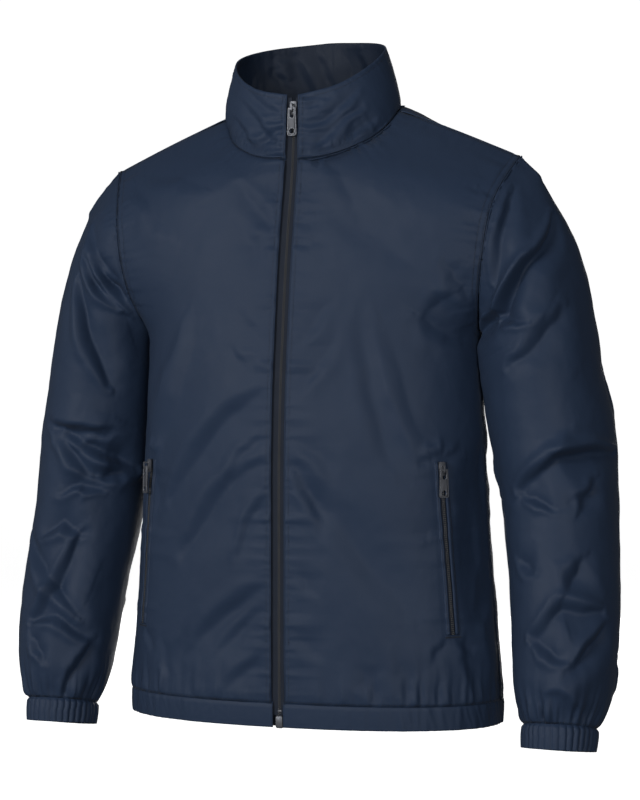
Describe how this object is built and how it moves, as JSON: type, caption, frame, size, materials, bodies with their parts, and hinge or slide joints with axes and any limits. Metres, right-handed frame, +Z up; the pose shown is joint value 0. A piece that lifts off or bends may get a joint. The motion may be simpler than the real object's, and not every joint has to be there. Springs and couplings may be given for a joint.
{
  "type": "zipped windbreaker jacket",
  "caption": "Zipped windbreaker jacket with stand collar, elastic hem and cuffs, filled out as worn and open at neck, hem and cuffs.",
  "frame": {"origin": "on the neck's centre line, level with the high points of the shoulders, where the wearer holds it up", "axes": "+Z up, the front towards -Y, the wearer's left at +X"},
  "size_m": [0.7136, 0.2344, 0.8012],
  "materials": {
    "shell_cloth": "smooth navy taffeta, low sheen",
    "zip_tape": "dark charcoal woven tape and coil",
    "zip_metal": "gunmetal"
  },
  "bodies": {
    "root": {"front_left": "shell_cloth", "front_right": "shell_cloth", "back": "shell_cloth", "sleeve_left": "shell_cloth", "sleeve_right": "shell_cloth", "collar": "shell_cloth", "hem_band": "shell_cloth", "cuff_left": "shell_cloth", "cuff_right": "shell_cloth", "pocket_left_welt_front": "shell_cloth", "pocket_left_welt_back": "shell_cloth", "pocket_right_welt_front": "shell_cloth", "pocket_right_welt_back": "shell_cloth", "zip_tape_left": "zip_tape", "zip_tape_right": "zip_tape", "zip_coil": "zip_tape", "pocket_left_coil": "zip_tape", "pocket_right_coil": "zip_tape", "zip_box": "zip_metal", "zip_slider": "zip_metal", "pocket_left_slider": "zip_metal", "pocket_right_slider": "zip_metal"},
    "zip_tab": {"zip_pull": "zip_metal"},
    "pocket_left_tab": {"pocket_left_pull": "zip_metal"},
    "pocket_right_tab": {"pocket_right_pull": "zip_metal"}
  },
  "joints": [
    {"name": "zip_tab_hinge", "type": "hinge", "parent": "root", "child": "zip_tab", "pos_m": [0, -0.09122, -0.0072], "axis": [-1, 0, 0], "range_deg": [0, 150]},
    {"name": "pocket_left_tab_hinge", "type": "hinge", "parent": "root", "child": "pocket_left_tab", "pos_m": [0.1768, -0.0942, -0.4067], "axis": [-0.7397, -0.673, 0], "range_deg": [0, 150]},
    {"name": "pocket_right_tab_hinge", "type": "hinge", "parent": "root", "child": "pocket_right_tab", "pos_m": [-0.17675, -0.09461, -0.4067], "axis": [-0.7458, 0.6662, 0], "range_deg": [0, 150]}
  ]
}
